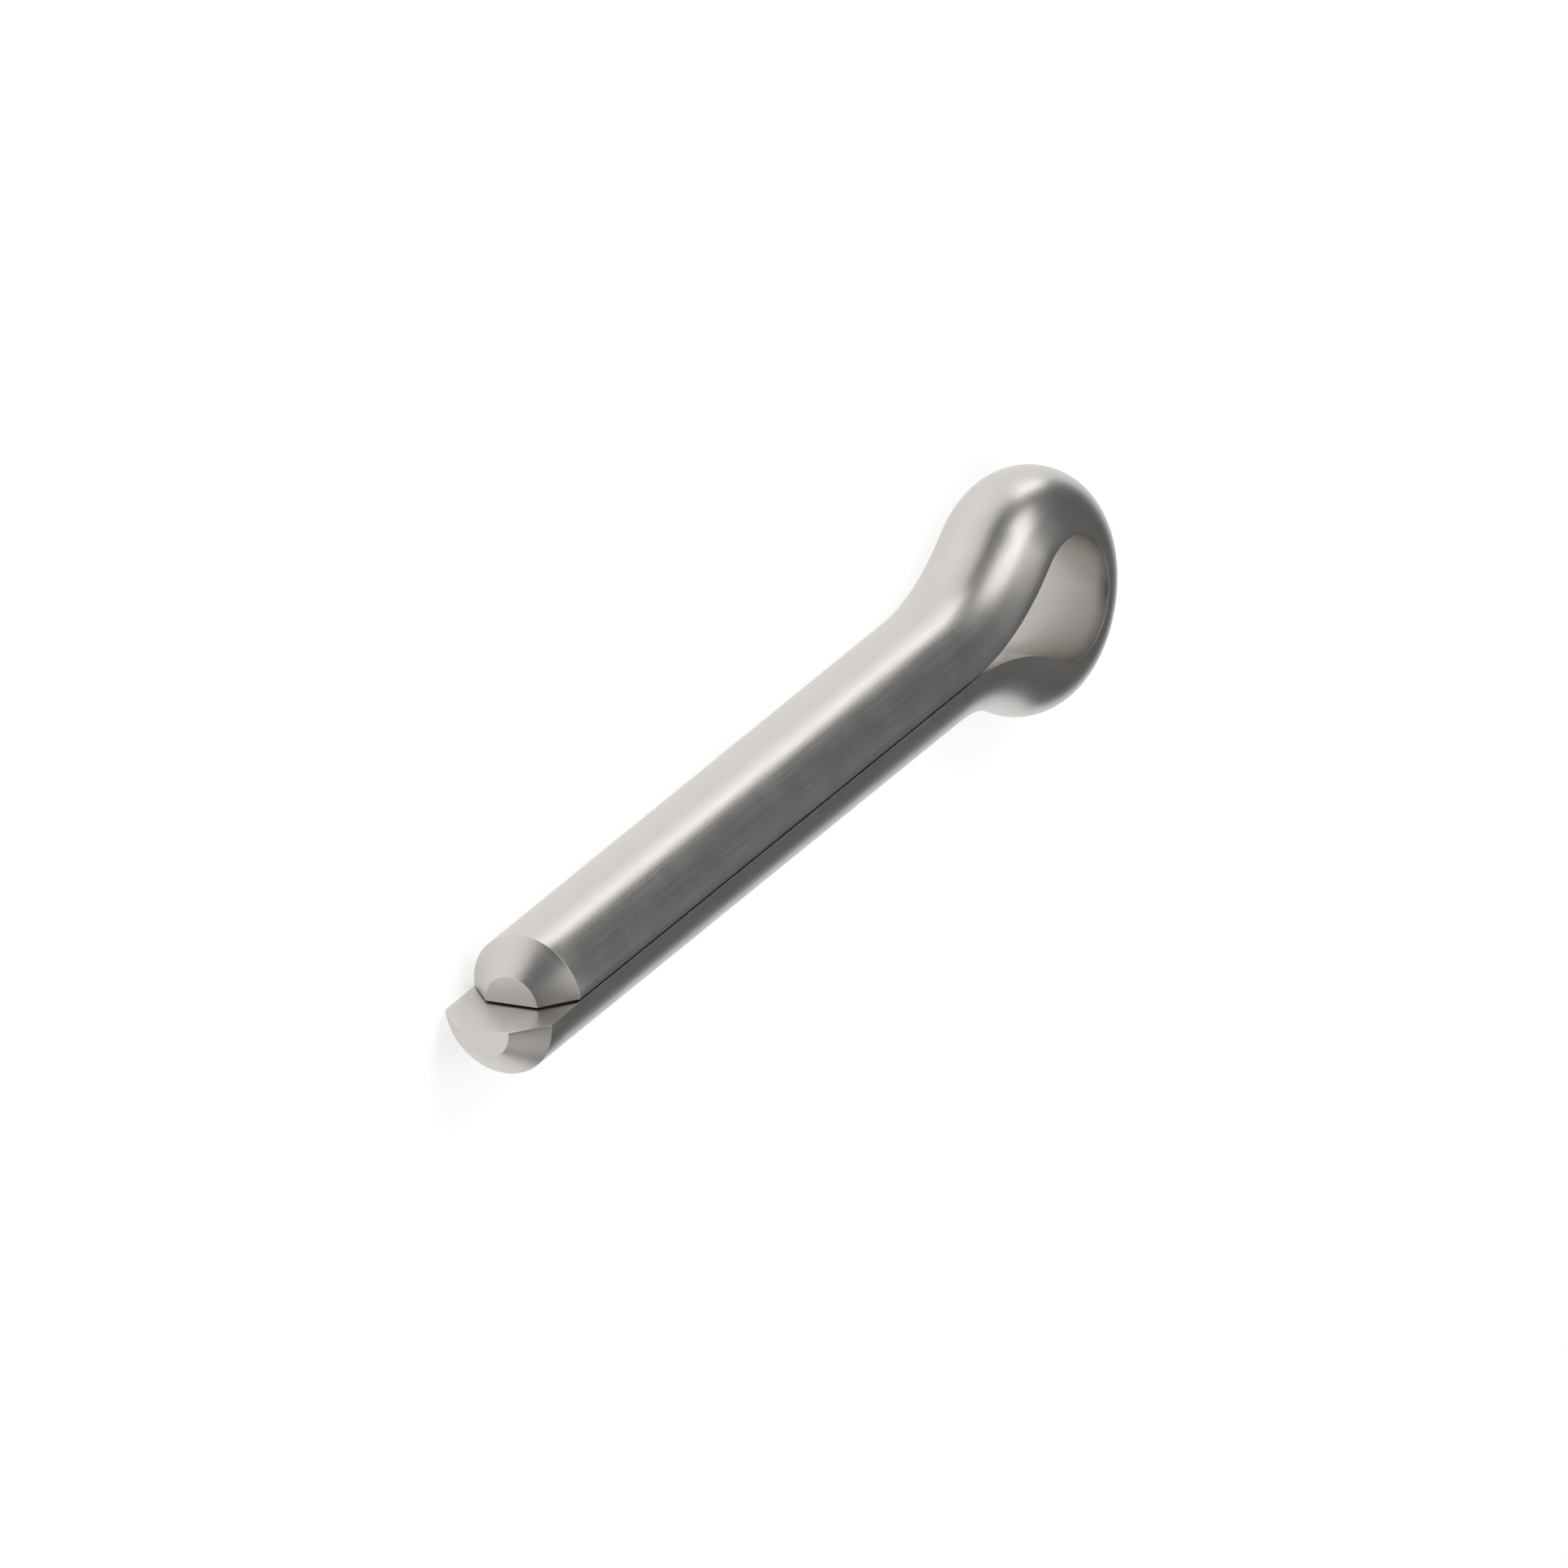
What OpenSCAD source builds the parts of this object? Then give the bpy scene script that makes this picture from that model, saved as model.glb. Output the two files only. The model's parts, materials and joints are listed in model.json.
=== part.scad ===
// Cotter pin (split pin): one length of half-round wire folded back on itself.
// The fold is an eye, a neck on each side brings the wire in, and the flats of the
// two legs face each other to make a round shank. One leg is longer than the other,
// so that its end is easy to catch and bend over.
//
// The shank points along +X and the hole of the eye along Z. The origin is on the
// shank's axis, level with the rim that stops the neck when the pin is in its hole.
// The long leg is on the +Y side.

/* [Hole] */
// Nominal size of the pin: the diameter of the hole it goes through
hole_d = 6.3; // [5:0.1:8]
// How much smaller than that hole the closed shank is
hole_clearance = 0.55; // [0.4:0.05:0.8]

/* [Legs] */
// Nominal length of the pin, from the rim of the hole to the end of the short leg
pin_l = 40; // [20:1:125]
// How far the long leg reaches past the short one
leg_step = 2.7; // [2:0.1:4]
// Gap between the flats of the two legs
leg_gap = 0.09; // [0.02:0.01:0.3]

/* [Tips] */
// Length of the conical tip of each leg
tip_l = 1.45; // [0.5:0.05:3]
// Width of the end face of each leg
tip_w = 2.8; // [1:0.1:4]

/* [Eye] */
// Inner diameter of the eye
eye_d = 6.05; // [5:0.05:10]
// Radius to which the round back of the wire is bent at each neck
neck_r = 9.85; // [5:0.05:20]

/* [Hidden] */
$fn = 96;

// The pin is drawn in metres, and scaled up to millimetres as a whole.
mm = 0.001;

// The section of the wire is half a disc.
wire_r = (hole_d - hole_clearance) / 2 * mm;
half_gap = leg_gap / 2 * mm;

// Each neck is an arc about a centre beside the shank. The wire's flat is on the
// outside of that arc and its round back on the inside.
neck_back_r = neck_r * mm;
neck_flat_r = neck_back_r + wire_r;
neck_y = half_gap + neck_flat_r;

// The arc starts where the back, curving outwards, comes to the hole's rim at x = 0.
neck_x = sqrt(pow(neck_back_r, 2) - pow(neck_y - hole_d / 2 * mm, 2));

// The flats of neck and eye are tangent, which sets the distance between the centres.
eye_r = eye_d / 2 * mm;
centre_gap = neck_flat_r + eye_r;
eye_x = neck_x - sqrt(pow(centre_gap, 2) - pow(neck_y, 2));

// Angle that the wire turns through in each neck
neck_turn = acos(neck_y / centre_gap);

// Half disc with its flat on the Y axis and its round side towards +X
module wire_section() {
    intersection() {
        circle(r = wire_r);
        translate([0, -wire_r]) square([wire_r, 2 * wire_r]);
    }
}

// Loop of the fold, open towards the legs
module eye() {
    translate([eye_x, 0, 0])
        rotate([0, 0, 90 - neck_turn])
            rotate_extrude(angle = 180 + 2 * neck_turn)
                translate([eye_r, 0])
                    wire_section();
}

// Bend that brings the wire from the eye in to the leg
module neck() {
    translate([neck_x, neck_y, 0])
        rotate([0, 0, -90])
            rotate_extrude(angle = -neck_turn)
                translate([neck_flat_r, 0])
                    mirror([1, 0])
                        wire_section();
}

// Straight half-round leg up to tip_x, ending in half a truncated cone
module leg(tip_x) {
    length = tip_x - neck_x;
    translate([neck_x, half_gap, 0])
        rotate([0, 90, 0])
            rotate_extrude(angle = 180)
                polygon([
                    [0, 0],
                    [wire_r, 0],
                    [wire_r, length - tip_l * mm],
                    [tip_w / 2 * mm, length],
                    [0, length]
                ]);
}

// Neck and leg on the +Y side
module side(tip_x) {
    neck();
    leg(tip_x);
}

module cotter_pin() {
    color([0.62, 0.60, 0.58])
        scale(1 / mm) {
            eye();
            side((pin_l + leg_step) * mm);
            mirror([0, 1, 0]) side(pin_l * mm);
        }
}

cotter_pin();
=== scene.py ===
"""Cotter pin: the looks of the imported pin, which lies on a pale studio floor."""

import json
import math

import bmesh
import bpy
from mathutils import Matrix, Vector


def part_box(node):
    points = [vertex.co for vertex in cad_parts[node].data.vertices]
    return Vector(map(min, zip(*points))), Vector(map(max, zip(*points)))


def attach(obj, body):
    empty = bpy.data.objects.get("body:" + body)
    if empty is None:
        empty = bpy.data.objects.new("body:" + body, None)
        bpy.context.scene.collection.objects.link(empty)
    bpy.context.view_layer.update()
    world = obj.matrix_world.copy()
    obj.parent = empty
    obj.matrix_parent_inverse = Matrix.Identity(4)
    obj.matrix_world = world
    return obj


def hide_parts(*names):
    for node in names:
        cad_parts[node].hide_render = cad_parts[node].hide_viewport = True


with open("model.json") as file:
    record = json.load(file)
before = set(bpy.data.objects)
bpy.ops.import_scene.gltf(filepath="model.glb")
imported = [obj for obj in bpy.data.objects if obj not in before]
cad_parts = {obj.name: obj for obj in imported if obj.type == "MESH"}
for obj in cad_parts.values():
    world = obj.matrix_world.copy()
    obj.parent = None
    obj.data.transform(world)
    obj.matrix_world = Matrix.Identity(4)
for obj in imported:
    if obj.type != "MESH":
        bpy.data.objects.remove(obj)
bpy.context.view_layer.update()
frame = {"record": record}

MM = 0.001

# The pin's sizes that the frame gives
MOUNTS = {mount["name"]: mount for mount in frame["record"]["mounts"]}
LOW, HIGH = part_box("cotter_pin")
WIRE_R = MOUNTS["shank"]["dims"]["r_mm"] * MM
EYE_R = MOUNTS["eye"]["dims"]["r_mm"] * MM
LONG_TIP_X = HIGH.x

# The pin's other sizes, as in part.scad
LEG_STEP = 2.7 * MM
LEG_GAP = 0.09 * MM
TIP_L = 1.45 * MM
TIP_W = 2.8 * MM
NECK_R = 9.85 * MM
HOLE_R = 3.15 * MM
EDGE_ROUND = 0.012 * MM

# The bends, worked out as in part.scad: the flats of neck and eye are tangent
NECK_FLAT_R = NECK_R + WIRE_R
NECK_Y = LEG_GAP / 2 + NECK_FLAT_R
NECK_X = math.sqrt(NECK_R**2 - (NECK_Y - HOLE_R) ** 2)
CENTRE_GAP = NECK_FLAT_R + EYE_R
EYE_X = NECK_X - math.sqrt(CENTRE_GAP**2 - NECK_Y**2)
NECK_TURN = math.acos(NECK_Y / CENTRE_GAP)

# Fineness of the mesh
ROUND_STEPS = 64
FLAT_STEPS = 8
ARC_STEP = math.radians(2.5)
LEG_RINGS = 24
SHARP_ANGLE = math.radians(15)
EDGE_SEGMENTS = 3
FLAT_FACE_WEIGHT = 80

# Which finish a face of the wire has, and how wide a band along its long edges is rubbed bright
DRAWN, CUT = 0, 1
RUBBED_WIDTH = 0.3 * MM
RUBBED_SHINE = 0.04

# The finish: clouds and lines per metre. Drawing leaves lines along the wire, cutting round it.
DULL_STEEL = (0.59, 0.568, 0.545)
CLEAN_STEEL = (0.65, 0.626, 0.6)
DRAWN_ROUGHNESS = 0.34
CUT_ROUGHNESS = 0.37
CLOUD_SCALE = 500
CLOUD_DETAIL = 4
DRAWN_LINES = (150, 9000, 1)
CUT_LINES = (9000, 150, 1)
LINE_DETAIL = 3
LINE_DEPTH = 0.0012 * MM
BUMP_STRENGTH = 0.5

# Noise between the first two values is spread over the other ranges, which are added to the roughness
# and make up the share of clean steel
NOISE_MIDDLE = (0.3, 0.7)
CLOUD_ROUGHNESS = (-0.02, 0.02)
LINE_ROUGHNESS = (-0.025, 0.025)
CLOUD_TINT = (0.2, 0.6)
LINE_TINT = (-0.05, 0.25)

# The studio: white paper in a grey room, which shows LOW_WHITE where a direction rises less than HORIZON
WHITE = (1, 1, 1, 1)
PAPER_COLOUR = (0.8, 0.8, 0.8, 1)
PAPER_ROUGHNESS = 0.3
PAPER_WHITE = 0.61
ROOM_GREY = 0.12
HORIZON = 0.001
LOW_WHITE = 0.97
FLOOR_R = 1.0
FLOOR_SIDES = 96
LAMP_DISTANCE = 0.5

# The camera is orthographic, rolled, and looks down on the pin. TIP_PIXEL is where it puts the shank's
# axis at the end of the long leg, in pixels from the top left.
VIEW_FROM = Vector((0.76154, -0.41213, 0.50021))
VIEW_RIGHT = Vector((-0.5031, 0.1107, 0.8571))
CAMERA_DISTANCE = 0.3
CAMERA_REACH = 2
PIXELS = 1932
PIXELS_PER_MM = 26.54
TIP_PIXEL = (594.4, 1267.9)


class Station:
    """A section of the wire: the middle of its flat, which way its back faces, and a scale."""

    def __init__(self, x, y, back, scale=1.0):
        self.centre = Vector((x, y, 0))
        self.back = Vector((math.cos(back), math.sin(back), 0))
        self.scale = scale


def leg(tip_x):
    """Stations of the +Y leg from its tip up to the neck."""
    y = LEG_GAP / 2
    back = math.pi / 2
    end_scale = TIP_W / 2 / WIRE_R
    stations = [Station(tip_x, y, back, end_scale)]
    start = tip_x - TIP_L
    for i in range(LEG_RINGS):
        stations.append(Station(start + (NECK_X - start) * i / LEG_RINGS, y, back))
    return stations


def arc(centre_x, centre_y, radius, start, end, back_turn):
    """Stations along a bend about a centre, from angle start up to angle end."""
    steps = round(abs(end - start) / ARC_STEP)
    stations = []
    for i in range(steps):
        angle = start + (end - start) * i / steps
        x = centre_x + radius * math.cos(angle)
        y = centre_y + radius * math.sin(angle)
        stations.append(Station(x, y, angle + back_turn))
    return stations


def side(tip_x):
    """Stations of the +Y side, from the tip to the middle of the eye's far end."""
    right = -math.pi / 2
    neck = arc(NECK_X, NECK_Y, NECK_FLAT_R, right, right - NECK_TURN, math.pi)
    eye = arc(EYE_X, 0, EYE_R, math.pi / 2 - NECK_TURN, math.pi, 0)
    return leg(tip_x) + neck + eye


def mirrored(stations):
    """The same stations on the -Y side, in the opposite order."""
    turned = []
    for station in reversed(stations):
        x, y, _ = station.centre
        back = math.atan2(-station.back.y, station.back.x)
        turned.append(Station(x, -y, back, station.scale))
    return turned


def wire_section():
    """Outline of the wire, as (towards the back, along Z): half a circle and then the flat."""
    outline = []
    for i in range(ROUND_STEPS):
        angle = math.pi * i / ROUND_STEPS
        outline.append((WIRE_R * math.sin(angle), WIRE_R * math.cos(angle)))
    for i in range(FLAT_STEPS):
        outline.append((0, -WIRE_R + 2 * WIRE_R * i / FLAT_STEPS))
    return outline


def section_distances():
    """How far round the wire each point of its outline is, with the way back to the first one."""
    round_step = math.pi * WIRE_R / ROUND_STEPS
    flat_step = 2 * WIRE_R / FLAT_STEPS
    distances = [0.0]
    for i in range(ROUND_STEPS + FLAT_STEPS):
        distances.append(distances[-1] + (round_step if i < ROUND_STEPS else flat_step))
    return distances


def rubbed(around):
    """How rubbed a point is by its distance round the wire: 1 on a long edge and 0 away from it."""
    back_length = math.pi * WIRE_R
    from_edge = min(around, abs(around - back_length), back_length + 2 * WIRE_R - around)
    return max(0.0, 1 - from_edge / RUBBED_WIDTH)


def add_ring(mesh, station, outline, around, rub):
    """The points of one section of the wire."""
    ring = []
    for (a, b), distance in zip(outline, around):
        offset = a * station.back + Vector((0, 0, b))
        point = mesh.verts.new(station.centre + station.scale * offset)
        point[rub] = rubbed(distance)
        ring.append(point)
    return ring


def sweep(mesh, stations):
    """The wire's surface, mapped in metres: U along the wire and V round it."""
    outline = wire_section()
    around = section_distances()
    uv = mesh.loops.layers.uv.new("wire")
    rub = mesh.verts.layers.float.new("rubbed")
    rings = [add_ring(mesh, station, outline, around, rub) for station in stations]
    count = len(outline)
    last = len(rings) - 2
    along = 0.0
    for k in range(len(rings) - 1):
        near, far = rings[k], rings[k + 1]
        further = along + (stations[k + 1].centre - stations[k].centre).length
        for i in range(count):
            j = (i + 1) % count
            face = mesh.faces.new((near[i], near[j], far[j], far[i]))
            face.material_index = CUT if k in (0, last) and i < ROUND_STEPS else DRAWN
            corners = ((along, i), (along, i + 1), (further, i + 1), (further, i))
            for loop, (u, point) in zip(face.loops, corners):
                loop[uv].uv = (u, around[point])
        along = further
    for ring in (list(reversed(rings[0])), rings[-1]):
        face = mesh.faces.new(ring)
        face.material_index = CUT
        for loop in face.loops:
            loop[uv].uv = (loop.vert.co.y, loop.vert.co.z)


def make_pin():
    """The whole wire as one closed mesh, with its sharp edges slightly rounded."""
    far_end = Station(EYE_X - EYE_R, 0, math.pi)
    stations = side(LONG_TIP_X) + [far_end] + mirrored(side(LONG_TIP_X - LEG_STEP))
    mesh = bmesh.new()
    sweep(mesh, stations)
    bmesh.ops.recalc_face_normals(mesh, faces=mesh.faces)
    sharp = [edge for edge in mesh.edges if edge.calc_face_angle(0) > SHARP_ANGLE]
    bmesh.ops.bevel(
        mesh, geom=sharp, offset=EDGE_ROUND, segments=EDGE_SEGMENTS, profile=0.5, affect="EDGES"
    )
    data = bpy.data.meshes.new("wire")
    mesh.to_mesh(data)
    mesh.free()
    data.shade_smooth()
    pin = bpy.data.objects.new("wire", data)
    bpy.context.scene.collection.objects.link(pin)
    normals = pin.modifiers.new("flat faces stay flat", "WEIGHTED_NORMAL")
    normals.weight = FLAT_FACE_WEIGHT
    return pin


def make_camera():
    camera_data = bpy.data.cameras.new("camera")
    camera_data.type = "ORTHO"
    camera_data.ortho_scale = PIXELS / PIXELS_PER_MM * MM
    camera = bpy.data.objects.new("camera", camera_data)
    bpy.context.scene.collection.objects.link(camera)
    back = VIEW_FROM.normalized()
    right = (VIEW_RIGHT - VIEW_RIGHT.dot(back) * back).normalized()
    up = back.cross(right)
    across = (PIXELS / 2 - TIP_PIXEL[0]) / PIXELS_PER_MM * MM
    rise = (TIP_PIXEL[1] - PIXELS / 2) / PIXELS_PER_MM * MM
    target = Vector((LONG_TIP_X, 0, 0)) + across * right + rise * up
    place = Matrix((right, up, back)).transposed().to_4x4()
    place.translation = target + CAMERA_DISTANCE * back
    camera.matrix_world = place
    camera_data.clip_end = CAMERA_REACH
    bpy.context.scene.camera = camera


class Nodes:
    """Short ways to add and link the nodes of one material or world."""

    def __init__(self, owner):
        owner.use_nodes = True
        self.tree = owner.node_tree

    def add(self, kind, **settings):
        node = self.tree.nodes.new(kind)
        for name, value in settings.items():
            setattr(node, name, value)
        return node

    def link(self, output, socket):
        self.tree.links.new(output, socket)

    def noise(self, coordinates, scale, detail):
        """Noise of about 0 to 1 on coordinates that are multiplied by scale first."""
        mapping = self.add("ShaderNodeMapping")
        mapping.inputs["Scale"].default_value = scale
        self.link(coordinates, mapping.inputs["Vector"])
        noise = self.add("ShaderNodeTexNoise")
        noise.inputs["Scale"].default_value = 1
        noise.inputs["Detail"].default_value = detail
        self.link(mapping.outputs["Vector"], noise.inputs["Vector"])
        return noise.outputs["Fac"]

    def spread(self, value, ends):
        """The middle of a noise's range, spread between two ends."""
        spread = self.add("ShaderNodeMapRange")
        spread.inputs["From Min"].default_value = NOISE_MIDDLE[0]
        spread.inputs["From Max"].default_value = NOISE_MIDDLE[1]
        spread.inputs["To Min"].default_value = ends[0]
        spread.inputs["To Max"].default_value = ends[1]
        self.link(value, spread.inputs["Value"])
        return spread.outputs["Result"]

    def combine(self, operation, first, second):
        combined = self.add("ShaderNodeMath", operation=operation)
        for value, socket in zip((first, second), combined.inputs):
            if isinstance(value, float):
                socket.default_value = value
            else:
                self.link(value, socket)
        return combined.outputs["Value"]

    def seen(self):
        """1 for what the camera sees, itself or by reflection, and 0 for what only gives light."""
        rays = self.add("ShaderNodeLightPath").outputs
        by_eye = self.combine("MAXIMUM", rays["Is Camera Ray"], rays["Is Glossy Ray"])
        return self.combine("MAXIMUM", by_eye, rays["Is Transmission Ray"])


def make_steel(name, roughness, line_scale):
    """Bright steel: fine lines that run as line_scale stretches them, soft clouds, and rubbed edges."""
    steel = bpy.data.materials.new(name)
    nodes = Nodes(steel)
    shader = steel.node_tree.nodes["Principled BSDF"]
    shader.inputs["Metallic"].default_value = 1

    wire = nodes.add("ShaderNodeUVMap", uv_map="wire").outputs["UV"]
    place = nodes.add("ShaderNodeTexCoord").outputs["Object"]
    edge = nodes.add("ShaderNodeAttribute", attribute_name="rubbed").outputs["Fac"]
    lines = nodes.noise(wire, line_scale, LINE_DETAIL)
    clouds = nodes.noise(place, (CLOUD_SCALE, CLOUD_SCALE, CLOUD_SCALE), CLOUD_DETAIL)

    line_change = nodes.spread(lines, LINE_ROUGHNESS)
    cloud_change = nodes.spread(clouds, CLOUD_ROUGHNESS)
    uneven = nodes.combine("ADD", line_change, cloud_change)
    rough = nodes.combine("ADD", uneven, roughness)
    rub = nodes.combine("MULTIPLY", edge, RUBBED_SHINE)
    nodes.link(nodes.combine("SUBTRACT", rough, rub), shader.inputs["Roughness"])

    tint = nodes.add("ShaderNodeMix", data_type="RGBA")
    tint.inputs["A"].default_value = (*DULL_STEEL, 1)
    tint.inputs["B"].default_value = (*CLEAN_STEEL, 1)
    shade = nodes.combine("ADD", nodes.spread(clouds, CLOUD_TINT), nodes.spread(lines, LINE_TINT))
    nodes.link(nodes.combine("MAXIMUM", shade, edge), tint.inputs["Factor"])
    nodes.link(tint.outputs["Result"], shader.inputs["Base Color"])

    bump = nodes.add("ShaderNodeBump")
    bump.inputs["Strength"].default_value = BUMP_STRENGTH
    bump.inputs["Distance"].default_value = LINE_DEPTH
    nodes.link(lines, bump.inputs["Height"])
    nodes.link(bump.outputs["Normal"], shader.inputs["Normal"])
    return steel


def make_paper():
    """White paper with a slight sheen. Part of its white only shows, and lights nothing."""
    paper = bpy.data.materials.new("paper")
    nodes = Nodes(paper)
    shader = paper.node_tree.nodes["Principled BSDF"]
    shader.inputs["Base Color"].default_value = PAPER_COLOUR
    shader.inputs["Roughness"].default_value = PAPER_ROUGHNESS
    shader.inputs["Emission Color"].default_value = WHITE
    nodes.link(nodes.combine("MULTIPLY", nodes.seen(), PAPER_WHITE), shader.inputs["Emission Strength"])
    return paper


def make_floor():
    ground = (0, 0, LOW.z)
    bpy.ops.mesh.primitive_circle_add(
        vertices=FLOOR_SIDES, radius=FLOOR_R, fill_type="NGON", location=ground
    )
    floor = bpy.context.object
    floor.name = "floor"
    floor.data.materials.append(make_paper())


def make_lamp(name, azimuth, elevation, width, height, brightness):
    """A soft box that faces the pin. Its brightness is that of its surface, where 1 is white."""
    light = bpy.data.lights.new(name, "AREA")
    light.shape = "RECTANGLE"
    light.size = width
    light.size_y = height
    light.energy = brightness * math.pi * width * height
    lamp = bpy.data.objects.new(name, light)
    bpy.context.scene.collection.objects.link(lamp)
    turn = math.radians(azimuth)
    rise = math.radians(elevation)
    away = Vector((math.cos(rise) * math.cos(turn), math.cos(rise) * math.sin(turn), math.sin(rise)))
    lamp.location = LAMP_DISTANCE * away
    lamp.rotation_euler = away.to_track_quat("Z", "Y").to_euler()
    lamp.visible_camera = False


def make_room():
    """A grey room, which shows white below the horizon, where low views start under the floor."""
    room = bpy.data.worlds.new("room")
    nodes = Nodes(room)
    background = room.node_tree.nodes["Background"]
    background.inputs["Color"].default_value = WHITE
    direction = nodes.add("ShaderNodeSeparateXYZ")
    nodes.link(nodes.add("ShaderNodeTexCoord").outputs["Generated"], direction.inputs["Vector"])
    low = nodes.combine("LESS_THAN", direction.outputs["Z"], HORIZON)
    shown = nodes.combine("MULTIPLY", low, nodes.seen())
    white = nodes.combine("MULTIPLY", shown, LOW_WHITE)
    nodes.link(nodes.combine("MAXIMUM", white, ROOM_GREY), background.inputs["Strength"])
    bpy.context.scene.world = room


def make_studio():
    make_room()
    bpy.context.scene.view_settings.view_transform = "Standard"
    make_floor()
    make_lamp("overhead soft box", azimuth=-60, elevation=85, width=0.5, height=0.74, brightness=1.0)
    make_lamp("low strip", azimuth=-133, elevation=4.5, width=0.3, height=0.08, brightness=2.3)
    make_lamp("side soft box", azimuth=-102, elevation=42, width=0.28, height=0.26, brightness=1.7)
    make_lamp("far fill", azimuth=55, elevation=27, width=0.5, height=0.3, brightness=0.5)


pin = make_pin()
pin.data.materials.append(make_steel("drawn steel", DRAWN_ROUGHNESS, DRAWN_LINES))
pin.data.materials.append(make_steel("cut steel", CUT_ROUGHNESS, CUT_LINES))
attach(pin, "root")
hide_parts("cotter_pin")
make_camera()
make_studio()
